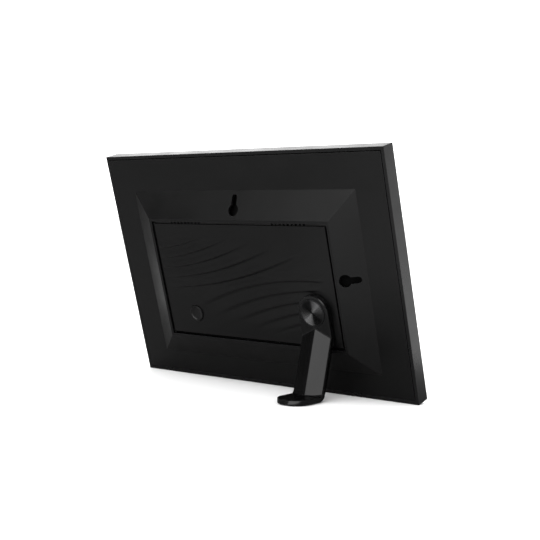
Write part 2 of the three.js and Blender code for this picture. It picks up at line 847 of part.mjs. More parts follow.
// The strip's face from the head to the foot, then its back at one thickness below.
function stripOutline() {
  const tangent = foot_bend_r * Math.tan(turn_at_foot / 2);
  const bend_start = knee.clone().addScaledVector(leg_way, -tangent);
  const bend_centre = bend_start.addScaledVector(leg_out, foot_bend_r);
  const start = Math.atan2(-leg_out.y, -leg_out.x);
  const end = Math.atan2(-straight_up.y, -straight_up.x);
  const arc = (radius) =>
    Array.from({ length: bend_steps + 1 }, (_, i) => {
      const angle = start + ((end - start) * i) / bend_steps;
      const way = new THREE.Vector2(Math.cos(angle), Math.sin(angle));
      return bend_centre.clone().addScaledVector(way, radius);
    });
  const head_end = pivot_z + stand_width / 2 + 1;
  const foot_end = foot_reach + stand_width / 2 + 1;
  const mitre = strip_thickness * Math.tan(leg_angle / 2);
  return new THREE.Shape([
    new THREE.Vector2(head_face, head_end),
    bend,
    ...arc(foot_bend_r),
    overGround(foot_end, foot_top_height),
    overGround(foot_end, foot_top_height - strip_thickness),
    ...arc(foot_bend_r + strip_thickness).reverse(),
    new THREE.Vector2(head_back, bend.y - mitre),
    new THREE.Vector2(head_back, head_end),
  ]);
}

// The ridge of the leg: a bar with a gabled section that runs into the head and the foot.
// It starts wider than the strip, and the strip's own outlines trim it.
function legRidge() {
  const half = stand_width / 2;
  const over = 1;
  const eave = (-ridge_rise * over) / half;
  const start = bend.clone().addScaledVector(leg_way, -ridge_rise / Math.tan(leg_angle));
  const length = leg_length + ridge_rise / Math.tan(leg_angle) + strip_thickness / 2;
  const section = new THREE.Shape([
    new THREE.Vector2(-half - over, -over),
    new THREE.Vector2(half + over, -over),
    new THREE.Vector2(half + over, eave),
    new THREE.Vector2(0, ridge_rise),
    new THREE.Vector2(-half - over, eave),
  ]);
  const geometry = new THREE.ExtrudeGeometry(section, { depth: length, bevelEnabled: false });
  const axes = new THREE.Matrix4().makeBasis(
    new THREE.Vector3(-1, 0, 0),
    new THREE.Vector3(0, leg_out.x, leg_out.y),
    new THREE.Vector3(0, leg_way.x, leg_way.y),
  );
  axes.setPosition(pivot_x, start.x, start.y);
  geometry.applyMatrix4(axes);
  return solid(geometry);
}

// The strip seen from behind: a round head and straight sides.
function headOutline() {
  const half = stand_width / 2;
  const outline = new THREE.Shape();
  outline.absarc(pivot_x, pivot_z, half, 0, Math.PI);
  outline.lineTo(pivot_x - half, -half_height - stand_width);
  outline.lineTo(pivot_x + half, -half_height - stand_width);
  return outline;
}

// A round-ended shape seen from above, standing on the ground between two heights.
function footOutline(half, from, to, low, high) {
  const outline = new THREE.Shape();
  outline.absarc(0, to, half, 0, Math.PI);
  outline.lineTo(-half, from);
  outline.lineTo(half, from);
  const geometry = new THREE.ExtrudeGeometry(outline, {
    depth: high - low,
    bevelEnabled: false,
    curveSegments: round_steps / 2,
  });
  const corner = overGround(0, low);
  const axes = new THREE.Matrix4().makeBasis(
    new THREE.Vector3(1, 0, 0),
    new THREE.Vector3(0, along_ground.x, along_ground.y),
    new THREE.Vector3(0, straight_up.x, straight_up.y),
  );
  axes.setPosition(pivot_x, corner.x, corner.y);
  geometry.applyMatrix4(axes);
  return solid(geometry);
}

const foot_bottom_height = foot_top_height - strip_thickness;
const disc_seat = head_face + disc_proud - disc_thickness;
const disc_pocket = disc_seat - rest_gap;
const screw_seat = disc_pocket - pivot_screw_head - 2 * rest_gap;

function standLeg() {
  const seen_from_behind = plate(headOutline(), 0, frame_height, round_steps / 2);
  const seen_from_above = footOutline(stand_width / 2, -frame_height, foot_reach, -1, frame_height);
  const strip = join(profile(stripOutline(), pivot_x, stand_width + 2), legRidge())
    .intersect(seen_from_behind)
    .intersect(seen_from_above);
  const spigot = round(pivot_x, pivot_z, spigot_r, spigot_end, head_back + 1, round_steps);
  const pad_half = stand_width / 2 - pad_inset + rest_gap;
  const pad_end = foot_reach - pad_length - rest_gap;
  return cut(
    join(strip, spigot),
    round(pivot_x, pivot_z, disc_r + rest_gap, disc_pocket, head_face + 1, round_steps),
    round(pivot_x, pivot_z, pivot_screw_head_r + rest_gap, screw_seat, head_face),
    round(pivot_x, pivot_z, pivot_screw_r + rest_gap, spigot_end - 1, head_face),
    footOutline(pad_half, pad_end, foot_reach, -1, pad_thickness + rest_gap),
  );
}

function retainerPlate() {
  const half = lug_width / 2;
  const [low, top] = [retainer_bottom, retainer_top];
  const lug = box(pivot_x - half, pivot_x + half, low, top, pivot_z, pivot_z + lug_reach);
  const disc = round(pivot_x, pivot_z, retainer_r, low, top, round_steps);
  return cut(join(disc, lug), bore(pivot_x, pivot_z, pivot_screw_r + rest_gap, low, top));
}

function waveWasher() {
  const ring = round(pivot_x, pivot_z, washer_r, washer_bottom, washer_top, round_steps);
  const hole_r = spigot_r + rest_gap;
  return cut(ring, bore(pivot_x, pivot_z, hole_r, washer_bottom, washer_top, round_steps));
}

const nut_top = retainer_bottom - rest_gap;

function pivotNut() {
  const low = nut_top - nut_thickness;
  const hexagon = round(pivot_x, pivot_z, nut_across / Math.sqrt(3), low, nut_top, 6);
  return cut(hexagon, bore(pivot_x, pivot_z, pivot_screw_r + rest_gap, low, nut_top));
}

place('stand_leg', standLeg(), 'stand');
function standDisc() {
  return round(pivot_x, pivot_z, disc_r, disc_seat, disc_seat + disc_thickness, round_steps);
}

function standPad() {
  const half = stand_width / 2 - pad_inset;
  return footOutline(half, foot_reach - pad_length, foot_reach, 0, pad_thickness);
}

function pivotScrew() {
  const seat = screw_seat + rest_gap;
  const end = nut_top - nut_thickness - screw_past_nut;
  return screw(pivot_x, pivot_z, seat, end, pivot_screw_r, pivot_screw_head_r, pivot_screw_head);
}

place('stand_disc', standDisc(), 'spun');
place('stand_pad', standPad(), 'rubber');
place('pivot_screw', pivotScrew(), 'steel');
place('wave_washer', waveWasher(), 'steel');
place('retainer_plate', retainerPlate(), 'steel');
place('pivot_nut', pivotNut(), 'steel');

// ---------------------------------------------------------------- standing position

// The leaning casing rests on its rear bottom edge and on the foot. The origin is under
// the middle of the whole: between the front bottom edge and the end of the foot.
const front_reach = bezel_depth * Math.cos(lean);
const middle = (foot_reach + stand_width / 2 - front_reach) / 2;
group.position.set(0, half_height * Math.sin(lean) - middle, half_height * Math.cos(lean));

export default group;
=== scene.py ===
# %% [markdown]
# # A digital photo frame, seen from behind
#
# The frame stands on a table with its back to us: a black moulded bezel, a raised rear cover
# with two hanging keyholes, a rippled insert panel, a power button and a turning foot stand.
# The engineering model is loaded first and stays as it is. It says where every part lies and
# how the stand and the button move. This lesson gives those parts their rounded edges,
# moulded detail and finishes, so every size below is read from the loaded model.

# %% Load the engineering model
import json
from math import atan2, cos, pi, radians, sin, tau

import bmesh
import bpy
from mathutils import Matrix, Vector


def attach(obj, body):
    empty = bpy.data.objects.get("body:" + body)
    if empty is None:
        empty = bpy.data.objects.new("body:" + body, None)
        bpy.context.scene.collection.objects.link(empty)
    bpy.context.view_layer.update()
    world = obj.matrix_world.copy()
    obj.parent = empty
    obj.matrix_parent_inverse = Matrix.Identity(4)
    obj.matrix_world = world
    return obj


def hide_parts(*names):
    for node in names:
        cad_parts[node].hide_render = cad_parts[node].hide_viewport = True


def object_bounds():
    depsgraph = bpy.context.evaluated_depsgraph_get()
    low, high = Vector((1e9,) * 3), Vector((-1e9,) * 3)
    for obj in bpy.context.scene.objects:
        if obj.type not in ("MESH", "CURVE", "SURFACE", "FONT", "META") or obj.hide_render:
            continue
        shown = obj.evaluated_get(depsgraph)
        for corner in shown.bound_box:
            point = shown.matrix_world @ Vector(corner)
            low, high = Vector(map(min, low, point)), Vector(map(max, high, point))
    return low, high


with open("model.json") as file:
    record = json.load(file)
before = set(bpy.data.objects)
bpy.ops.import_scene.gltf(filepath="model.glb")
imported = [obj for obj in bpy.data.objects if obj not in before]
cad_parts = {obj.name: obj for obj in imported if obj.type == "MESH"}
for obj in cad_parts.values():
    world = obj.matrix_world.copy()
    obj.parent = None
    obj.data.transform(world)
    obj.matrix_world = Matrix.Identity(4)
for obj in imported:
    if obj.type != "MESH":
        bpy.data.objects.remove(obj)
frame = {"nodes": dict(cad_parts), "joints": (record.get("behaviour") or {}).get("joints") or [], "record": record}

cad_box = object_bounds()
print("loaded", len(frame["nodes"]), "nodes; box", [tuple(round(c, 4) for c in p) for p in cad_box])

# %% [markdown]
# The casing leans back, so nothing on it is square to the world. It is easier to model
# upright and lean the finished mesh afterwards. The hinge of the stand comes straight out of
# the back, which gives the leaning axes: x across, y out of the back, z up the casing.

# %% The casing's own axes
hinge = next(joint for joint in frame["joints"] if joint["name"] == "stand_turn")
out_of_back = Vector(hinge["axis"]).normalized()
across = Vector((1, 0, 0))
up_casing = across.cross(out_of_back)


def reach(node, way):
    """The lowest and highest place of a node along a direction."""
    places = [v.co.dot(way) for v in frame["nodes"][node].data.vertices]
    return min(places), max(places)


seam_level = reach("front_bezel", out_of_back)[1]
mid_height = sum(reach("front_bezel", up_casing)) / 2
origin = out_of_back * seam_level + up_casing * mid_height
casing = Matrix((across, out_of_back, up_casing)).transposed().to_4x4()
casing.translation = origin
print("casing leans", round(atan2(up_casing.y, up_casing.z) / radians(1), 2), "degrees")


def casing_box(node):
    """A node's lowest and highest corner in the casing's own axes."""
    spans = [reach(node, way) for way in (across, out_of_back, up_casing)]
    corners = zip(*[(low - origin.dot(way), high - origin.dot(way))
                    for (low, high), way in zip(spans, (across, out_of_back, up_casing))])
    return [Vector(corner) for corner in corners]


# %% [markdown]
# ## Helpers for modelling
#
# An edit-mode operator acts on whatever is selected. So each step first clears the
# selection and then picks faces or edges by where they are or which way they look.

# %% Selecting and finishing
MM = 0.001


def select_only(piece):
    bpy.ops.object.select_all(action="DESELECT")
    piece.select_set(True)
    bpy.context.view_layer.objects.active = piece


def pick(piece, kind, wanted):
    """In edit mode, selects only the faces or edges for which wanted(element) is true."""
    mesh = bmesh.from_edit_mesh(piece.data)
    bpy.ops.mesh.select_mode(type="FACE" if kind == "faces" else "EDGE")
    bpy.ops.mesh.select_all(action="DESELECT")
    chosen = [part for part in getattr(mesh, kind) if wanted(part)]
    for part in chosen:
        part.select_set(True)
    mesh.select_flush_mode()
    bmesh.update_edit_mesh(piece.data)
    return len(chosen)


def apply_all(piece):
    select_only(piece)
    for modifier in list(piece.modifiers):
        bpy.ops.object.modifier_apply(modifier=modifier.name)


def smooth(piece, degrees):
    select_only(piece)
    bpy.ops.object.shade_smooth_by_angle(angle=radians(degrees))


def lean_back(piece):
    """Moves a piece modelled upright into the leaning casing; its object ends at the origin."""
    piece.data.transform(casing @ piece.matrix_world)
    piece.matrix_world = Matrix.Identity(4)


def tell(piece):
    print(piece.name, "has", len(piece.data.polygons), "faces")


# %% [markdown]
# Many parts already have the right shape, and only lack the small rounding that every
# moulded or pressed edge has. A copy of such a part is welded, its flat faces are joined up
# and a Bevel modifier rounds each edge that is sharper than a given angle. Rounded edges
# catch a thin line of light, which is most of what makes a part look real. A Weighted Normal
# modifier then keeps the shading of the big flat faces flat, right up to the rounding.

# %% Copies with rounded edges
weld_distance = 0.002 * MM
flat_within = radians(0.5)  # faces that turn less than this become one flat face
sharp_from = radians(12)  # edges that turn more than this are rounded


def welded_copy(node, name, body):
    """A copy of a node's mesh in one connected piece, with its flat faces joined up."""
    source = frame["nodes"][node]
    piece = bpy.data.objects.new(name, source.data.copy())
    bpy.context.scene.collection.objects.link(piece)
    piece.data.materials.clear()
    select_only(piece)
    if piece.data.has_custom_normals:
        bpy.ops.mesh.customdata_custom_splitnormals_clear()
    bpy.ops.object.mode_set(mode="EDIT")
    bpy.ops.mesh.select_all(action="SELECT")
    bpy.ops.mesh.remove_doubles(threshold=weld_distance)
    bpy.ops.mesh.dissolve_limited(angle_limit=flat_within, delimit={"NORMAL"})
    bpy.ops.object.mode_set(mode="OBJECT")
    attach(piece, body)
    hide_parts(node)
    return piece


def rounded_copy(node, name, body, radius, segments=2):
    """A welded copy whose sharp edges are rounded."""
    piece = welded_copy(node, name, body)
    bevel = piece.modifiers.new("Edges", "BEVEL")
    bevel.width = radius
    bevel.segments = segments
    bevel.limit_method = "ANGLE"
    bevel.angle_limit = sharp_from
    bevel.use_clamp_overlap = True
    flat_shading = piece.modifiers.new("Flat faces", "WEIGHTED_NORMAL")
    flat_shading.mode = "FACE_AREA"
    flat_shading.weight = 100
    select_only(piece)
    bpy.ops.object.shade_smooth()
    apply_all(piece)
    tell(piece)
    return piece


bezel = rounded_copy("front_bezel", "bezel", "casing", 0.3 * MM)
cover = rounded_copy("rear_cover", "cover", "casing", 0.25 * MM)
glass = rounded_copy("cover_glass", "front_glass", "casing", 0.3 * MM)

# %% [markdown]
# ## The stand
#
# The stand is a casting with crisp facets. Its edges are not rounded but chamfered: a narrow
# flat strip runs along each one, and on the round head it shines as a thin bright line. Only
# the edges on the outside are picked, so the spigot and the seat of the disc stay sharp.

# %% Chamfer the stand
leg = welded_copy("stand_leg", "stand", "stand")
to_casing = casing.inverted()
pivot_low, pivot_high = casing_box("stand_disc")
pivot_at = (pivot_low + pivot_high) / 2
disc_r = (pivot_high.x - pivot_low.x) / 2
cover_level = casing_box("rear_cover")[1].y
chamfer = 0.5 * MM
facet_turn = radians(20)  # the facets of the casting meet at more than this


def is_outer_edge(edge):
    """True for a crisp edge that is clear of the disc's seat and of the cover."""
    if len(edge.link_faces) != 2 or edge.calc_face_angle(0) < facet_turn:
        return False
    ends = [to_casing @ vertex.co for vertex in edge.verts]
    from_pivot = [Vector((end.x - pivot_at.x, end.z - pivot_at.z)).length for end in ends]
    clear_of_disc = min(from_pivot) > disc_r + chamfer
    return clear_of_disc and min(end.y for end in ends) > cover_level + chamfer


select_only(leg)
bpy.ops.object.mode_set(mode="EDIT")
print("chamfering", pick(leg, "edges", is_outer_edge), "edges")
bpy.ops.mesh.bevel(offset=chamfer, segments=1, clamp_overlap=False)
bpy.ops.object.mode_set(mode="OBJECT")
smooth(leg, 14)
tell(leg)

# %% [markdown]
# ## The insert panel
#
# The panel lies in a pocket of the cover, with a narrow groove all round it. Its face is
# moulded in two families of long ripples, like wind ripples in sand: each has a short steep
# side that falls into shade and a long gentle side that catches the light. The lines of one
# family are curves side by side, so a point on the panel can be given a line number, with
# 0 on the first line, 1 on the next and so on. The ripple is then a saw-tooth of that number.
# The panel starts as a grid and its points are moved by this rule, since a saw-tooth that
# curves and fades out can't be made with a few extrusions.

# %% Ripple lines
UNIT = 50  # mm, the length that the curve terms below are measured in


class RippleFamily:
    """Curved lines, each at height = start + slope x + bow x² and each a little different.

    Start, slope and bow are pairs: the value for line 0, and its change from line to line.
    """

    # All in lines: where the first ripple starts to rise, and over how many lines it does,
    # then how far before the count the last ripple is gone, and over how many lines it goes.
    rise_from, rise_over = -0.9, 0.8
    gone_by, gone_over = 0.3, 0.7

    def __init__(self, start, slope, bow, count, depth, steep, fades, ramps):
        self.start, self.slope, self.bow = start, slope, bow
        self.count = count
        self.depth = depth  # the ripple's height above the mean, as a share of its width
        self.steep = steep  # how much of its width is the steep side
        self.fades = fades  # where a line's left and right end are, by line number
        self.ramps = ramps  # over how many mm the two ends fade out, by line number

    def first_and_step(self, x):
        """Where the first line is at x, and how far it is from there to the next line."""
        t = x / UNIT
        return [self.start[i] + self.slope[i] * t + self.bow[i] * t * t for i in (0, 1)]

    def line_number(self, x, z):
        first, step = self.first_and_step(x)
        return (z - first) / step

    def height(self, x, z):
        """How far the panel is above its mean level, in mm."""
        number = self.line_number(x, z)
        width = abs(self.first_and_step(x)[1])
        return self.depth * width * self.strength(x, number) * ripple_shape(number, self.steep)

    def strength(self, x, number):
        """1 in the middle of the family, falling to 0 past its ends and its outer lines."""
        left, right = self.fades(number)
        left_ramp, right_ramp = self.ramps(number)
        along = ease((x - right) / right_ramp) * ease((left - x) / left_ramp)
        first_ripple = ease((number - self.rise_from) / self.rise_over)
        last_ripple = ease((self.count - self.gone_by - number) / self.gone_over)
        return along * first_ripple * last_ripple


def ease(t):
    """A soft step: 0 below 0, 1 above 1 and an S-curve between them."""
    t = max(0.0, min(1.0, t))
    return t * t * (3 - 2 * t)


upper_family = RippleFamily(
    start=(44.5, -11.1), slope=(-25.8, 3.1), bow=(6.5, -0.7), count=5, depth=0.064, steep=0.18,
    fades=lambda line: (92 - 3 * line, 33 - 24 * line), ramps=lambda line: (20, 20 + 8 * line),
)
lower_family = RippleFamily(
    start=(-8.2, -10.9), slope=(-12.8, -3.0), bow=(-5.3, -0.1), count=5, depth=0.052, steep=0.22,
    fades=lambda line: (54 - 17 * line, -76 + 5 * line), ramps=lambda line: (30, 14),
)


def ripple_shape(number, steep):
    """From -1 to 1 over one ripple: a steep fall at the line, then a long rise."""
    share = number % 1.0
    if share < steep:
        return cos(pi * share / steep)
    return -cos(pi * (share - steep) / (1 - steep))


print("ripple families of", upper_family.count, "and", lower_family.count, "lines")

# %% [markdown]
# The grid is fine enough for the steep side of the narrowest ripple. The ripples die away
# before the edge of the panel, so that the groove stays straight, and round the button.

# %% Shape the insert panel
columns, rows = 220, 320
edge_fade = 3 * MM
button_calm = 8.5 * MM  # no ripples this close to the middle of the button
button_fade = 4 * MM
panel_low, panel_high = casing_box("insert_panel")
size = panel_high - panel_low
middle = (panel_low + panel_high) / 2
bpy.ops.object.select_all(action="DESELECT")
bpy.ops.mesh.primitive_grid_add(
    x_subdivisions=columns, y_subdivisions=rows, size=1,
    location=(middle.x, panel_high.y, middle.z), rotation=(radians(-90), 0, 0),
)
panel = bpy.context.object
panel.name = panel.data.name = "rippled_panel"
panel.scale = (size.x, size.z, 1)
bpy.ops.object.transform_apply(location=True, rotation=True, scale=True)
button_low, button_high = casing_box("power_button")
button_at = (button_low + button_high) / 2


def panel_relief(x, z):
    """How far the panel's face is above its mean level."""
    inside = min(x - panel_low.x, panel_high.x - x, z - panel_low.z, panel_high.z - z)
    from_button = ((x - button_at.x) ** 2 + (z - button_at.z) ** 2) ** 0.5
    calm = ease(inside / edge_fade) * ease((from_button - button_calm) / button_fade)
    ripples = sum(family.height(x / MM, z / MM) for family in (upper_family, lower_family))
    return calm * ripples * MM


for vertex in panel.data.vertices:
    vertex.co.y = panel_high.y + panel_relief(vertex.co.x, vertex.co.z)
print("panel is", [round(c / MM, 1) for c in size], "mm")

# %% [markdown]
# The rippled face is extruded, and the new copy of it is flattened onto the back of the
# panel. A flat back needs no grid, so it is dissolved into one face. Cylinders then cut the
# hole that the button looks out of and the one that the spigot of the stand goes through.

# %% Give the panel its thickness and holes
level_tolerance = 0.01 * MM
cutter_length = 20 * MM
hidden_flange = 1.3 * MM  # how much wider than the cap the flange under the panel is, all round
button_gap = 0.4 * MM
spigot_hole_r = 6.4 * MM
select_only(panel)
bpy.ops.object.mode_set(mode="EDIT")
bpy.ops.mesh.select_all(action="SELECT")
bpy.ops.mesh.normals_make_consistent(inside=False)
bpy.ops.object.mode_set(mode="OBJECT")
if sum(face.normal.y for face in panel.data.polygons) < 0:
    panel.data.flip_normals()
select_only(panel)
bpy.ops.object.mode_set(mode="EDIT")
pick(panel, "faces", lambda face: True)
bpy.ops.mesh.extrude_region_move(TRANSFORM_OT_translate={"value": (0, 0, 0)})
bpy.ops.transform.resize(value=(1, 0, 1), center_override=(0, panel_low.y, 0))
back_level = panel_low.y + level_tolerance
pick(panel, "faces", lambda face: all(vertex.co.y < back_level for vertex in face.verts))
bpy.ops.mesh.dissolve_faces()
bpy.ops.mesh.select_all(action="SELECT")
bpy.ops.mesh.normals_make_consistent(inside=False)
bpy.ops.object.mode_set(mode="OBJECT")


def round_cutter(at, radius, steps=64):
    """A cylinder whose axis comes out of the back, to cut a round hole with."""
    bpy.ops.object.select_all(action="DESELECT")
    bpy.ops.mesh.primitive_cylinder_add(
        vertices=steps, radius=radius, depth=cutter_length,
        location=at, rotation=(radians(90), 0, 0),
    )
    return bpy.context.object


def cut_with(piece, cutter):
    """Takes the cutter's shape out of a piece, and the cutter out of the scene."""
    select_only(piece)
    modifier = piece.modifiers.new("Cut", "BOOLEAN")
    modifier.operation = "DIFFERENCE"
    modifier.solver = "EXACT"
    modifier.object = cutter
    bpy.ops.object.modifier_apply(modifier=modifier.name)
    bpy.data.objects.remove(cutter)


button_r = (button_high.x - button_low.x) / 2 - hidden_flange
cut_with(panel, round_cutter(button_at, button_r + button_gap))
cut_with(panel, round_cutter(pivot_at, spigot_hole_r))
smooth(panel, 40)
lean_back(panel)
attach(panel, "casing")
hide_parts("insert_panel")
tell(panel)

# %% [markdown]
# ## The vent rail
#
# Above the panel, and on its side away from the stand, the groove is shallow: a moulded rail
# fills most of it. Two rows of round vents go through the top rail, one over each speaker.
# Along the other two sides a near-black strip in the groove floor is painted shade. Each rail
# or strip is a cube stretched into place with rounded edges, and cylinders cut the vents. They
# don't stand for a part of the engineering model, so they ride the casing and replace nothing.

# %% Model the rails
groove = 2 * MM
rail_gap = 0.3 * MM
rail_drop = 1.0 * MM  # how far the rail lies below the panel
rail_round = 0.12 * MM
rail_sharp_from = radians(40)  # leaves the flat strips of a vent's wall as they are
shade_strip_height = 0.5 * MM
vent_r = 1.0 * MM
vent_pitch = 3.55 * MM
vents_per_group = 9
groove_room = groove - rail_gap
outer_low = panel_low - Vector((groove_room, 0, groove_room))
outer_high = panel_high + Vector((groove_room, 0, groove_room))


def rail(name, low, high):
    """A straight bar between two opposite corners."""
    bpy.ops.object.select_all(action="DESELECT")
    bpy.ops.mesh.primitive_cube_add(size=1, location=(low + high) / 2)
    piece = bpy.context.object
    piece.name = piece.data.name = name
    piece.scale = high - low
    bpy.ops.object.transform_apply(location=True, rotation=True, scale=True)
    return piece


def finish_rail(piece):
    edges = piece.modifiers.new("Edges", "BEVEL")
    edges.width = rail_round
    edges.segments = 2
    edges.limit_method = "ANGLE"
    edges.angle_limit = rail_sharp_from
    apply_all(piece)
    smooth(piece, 40)
    lean_back(piece)
    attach(piece, "casing")
    tell(piece)


rail_face = panel_high.y - rail_drop
vent_rail = rail(
    "vent_rail",
    Vector((outer_low.x, panel_low.y, panel_high.z + rail_gap)),
    Vector((outer_high.x, rail_face, outer_high.z)),
)
side_rail = rail(
    "side_rail",
    Vector((panel_high.x + rail_gap, panel_low.y, outer_low.z)),
    Vector((outer_high.x, rail_face, panel_high.z)),
)
# The two strips below are painted shade: near-black pieces in the groove floor that darken the groove there.
shade_strip_face = panel_low.y + shade_strip_height
groove_shade_strips = [
    rail("bottom_seal", outer_low, Vector((panel_high.x, shade_strip_face, panel_low.z - rail_gap))),
    rail(
        "side_seal",
        Vector((outer_low.x, panel_low.y, panel_low.z)),
        Vector((panel_low.x - rail_gap, shade_strip_face, panel_high.z)),
    ),
]
for speaker in ("speaker_left", "speaker_right"):
    speaker_at = sum(casing_box(speaker), Vector()) / 2
    for number in range(vents_per_group):
        vent_x = speaker_at.x + (number - (vents_per_group - 1) / 2) * vent_pitch
        vent_at = Vector((vent_x, panel_high.y, panel_high.z + groove / 2))
        cut_with(vent_rail, round_cutter(vent_at, vent_r, steps=20))
for piece in (vent_rail, side_rail, *groove_shade_strips):
    finish_rail(piece)

# %% [markdown]
# ## The power button
#
# The button is a cap with a raised rim and a shallow dish for the fingertip. A cylinder
# is inset for the rim, the middle is pressed in, and a bevel rounds the rim on both sides.

# %% Model the button cap
cap_height = 3.4 * MM
cap_rim = 0.9 * MM
cap_step_width, cap_step_depth = 0.25 * MM, 0.35 * MM
dish_steps = 4
dish_ring, dish_drop = 1.1 * MM, 0.25 * MM
cap_round = 0.3 * MM
rim_tolerance = 0.05 * MM
crisp_from = radians(15)
bpy.ops.object.select_all(action="DESELECT")
bpy.ops.mesh.primitive_cylinder_add(
    vertices=64, radius=button_r, depth=cap_height,
    location=(button_at.x, button_high.y - cap_height / 2, button_at.z),
    rotation=(radians(-90), 0, 0),
)
cap = bpy.context.object
cap.name = cap.data.name = "button_cap"
bpy.ops.object.transform_apply(location=True, rotation=True, scale=True)
select_only(cap)
bpy.ops.object.mode_set(mode="EDIT")
pick(cap, "faces", lambda face: face.normal.y > 0.9)
bpy.ops.mesh.inset(thickness=cap_rim)
bpy.ops.mesh.inset(thickness=cap_step_width, depth=-cap_step_depth)
for step in range(dish_steps):
    bpy.ops.mesh.inset(thickness=dish_ring, depth=-dish_drop * (1 - step / dish_steps))
rim_level = button_high.y - rim_tolerance


def is_rim_edge(edge):
    """True for the crisp edges on both sides of the raised rim."""
    on_rim = all(vertex.co.y > rim_level for vertex in edge.verts)
    return on_rim and len(edge.link_faces) == 2 and edge.calc_face_angle(0) > crisp_from


pick(cap, "edges", is_rim_edge)
bpy.ops.mesh.bevel(offset=cap_round, segments=3)
bpy.ops.object.mode_set(mode="OBJECT")
smooth(cap, 50)
lean_back(cap)
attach(cap, "button")
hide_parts("power_button")
tell(cap)

# %% [markdown]
# ## The pivot disc
#
# A turned metal disc covers the pivot. Its face has fine rings from the lathe, and the rings
# spread the light into two bright wedges, like a bow tie. Real rings give that effect from
# every side, so the profile of the face is drawn with its rings and spun round the axis.

# %% Spin the disc from its profile
disc_back = pivot_low.y
disc_face = pivot_high.y
ring_pitch = 0.42 * MM
ring_height = 0.145 * MM
middle_r = 0.9 * MM  # the plain middle, inside the first ring
rim_round = 0.35 * MM
rim_land = 0.14 * MM  # the flat between the last ring and the rounded rim
round_steps = 4


def disc_profile():
    """Radius and level of the profile's points, from the middle of the face to the back."""
    points = [(0.0, disc_face - ring_height)]
    radius = middle_r
    high = True
    while radius < disc_r - 2 * rim_round:
        points.append((radius, disc_face - (0 if high else ring_height)))
        radius += ring_pitch / 2
        high = not high
    points.append((disc_r - rim_round - rim_land, disc_face))
    for step in range(round_steps + 1):
        turn = step / round_steps * pi / 2
        points.append((disc_r - rim_round * (1 - sin(turn)), disc_face - rim_round * (1 - cos(turn))))
    points.append((disc_r, disc_back))
    points.append((0.0, disc_back))
    return points


def spun(name, profile, at, steps=96):
    """A profile of (radius, level) points turned into a solid round the axis through at."""
    mesh = bpy.data.meshes.new(name)
    mesh.from_pydata([(at.x + r, y, at.z) for r, y in profile],
                     [(i, i + 1) for i in range(len(profile) - 1)], [])
    piece = bpy.data.objects.new(name, mesh)
    bpy.context.scene.collection.objects.link(piece)
    select_only(piece)
    bpy.ops.object.mode_set(mode="EDIT")
    bpy.ops.mesh.select_mode(type="VERT")
    bpy.ops.mesh.select_all(action="SELECT")
    bpy.ops.mesh.spin(steps=steps, angle=tau, center=at, axis=(0, 1, 0))
    bpy.ops.mesh.select_all(action="SELECT")
    bpy.ops.mesh.remove_doubles(threshold=weld_distance)
    bpy.ops.mesh.normals_make_consistent(inside=False)
    bpy.ops.object.mode_set(mode="OBJECT")
    return piece


disc = spun("pivot_disc", disc_profile(), pivot_at)
smooth(disc, 8)
lean_back(disc)
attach(disc, "stand")
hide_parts("stand_disc")
tell(disc)

# %% [markdown]
# ## The rubber pad under the foot
#
# The pad stops the foot from sliding. While the frame stands, only its thin edge shows, and
# its plain face once the stand is turned, so a rounded copy of its solid is enough.

# %% Round the pad
pad = rounded_copy("stand_pad", "foot_pad", "stand", 0.25 * MM, segments=3)

# %% [markdown]
# ## Finishes
#
# Four effects are shared by several finishes, so each is a node group with named inputs.
# *Moulded grain* is the fine spark-eroded texture of a plastic tool. *Edge wear* finds edges
# with a Bevel node, which looks round the corner at the next face. *Tone drift* is the slow
# change of shade that no real surface is free of. *Rolled lines* are the fine parallel
# scratches of sheet metal.

# %% Node group helpers
def new_group(name, inputs, outputs):
    """A node group with named inputs (label, kind, default) and outputs (label, kind)."""
    group = bpy.data.node_groups.new(name, "ShaderNodeTree")
    for label, kind, default in inputs:
        socket = group.interface.new_socket(name=label, in_out="INPUT", socket_type=kind)
        if default is not None:
            socket.default_value = default
    for label, kind in outputs:
        group.interface.new_socket(name=label, in_out="OUTPUT", socket_type=kind)
    enter = group.nodes.new("NodeGroupInput")
    leave = group.nodes.new("NodeGroupOutput")
    return group, enter, leave


def add_node(tree, kind, **settings):
    """A new node; each setting is the value of an input or else a property of the node."""
    node = tree.nodes.new(kind)
    for key, value in settings.items():
        if key in node.inputs:
            node.inputs[key].default_value = value
        else:
            setattr(node, key, value)
    return node


FLOAT, VECTOR = "NodeSocketFloat", "NodeSocketVector"


# %% Moulded grain
def make_grain():
    group, enter, leave = new_group(
        "Moulded grain",
        [("Place", VECTOR, None), ("Grains per metre", FLOAT, 3000.0)],
        [("Height", FLOAT)],
    )
    link = group.links.new
    fine = add_node(group, "ShaderNodeTexNoise", Detail=2.0, Roughness=0.6)
    pits = add_node(group, "ShaderNodeTexVoronoi", feature="F1", Randomness=1.0)
    link(enter.outputs["Place"], fine.inputs["Vector"])
    link(enter.outputs["Place"], pits.inputs["Vector"])
    link(enter.outputs["Grains per metre"], fine.inputs["Scale"])
    link(enter.outputs["Grains per metre"], pits.inputs["Scale"])
    both = add_node(group, "ShaderNodeMath", operation="MULTIPLY")
    link(fine.outputs["Fac"], both.inputs[0])
    link(pits.outputs["Distance"], both.inputs[1])
    link(both.outputs["Value"], leave.inputs["Height"])
    return group


grain_group = make_grain()
print("made", grain_group.name)


# %% Edge wear
no_edge, full_edge = 0.995, 0.93  # how alike the two normals are off an edge and right on it


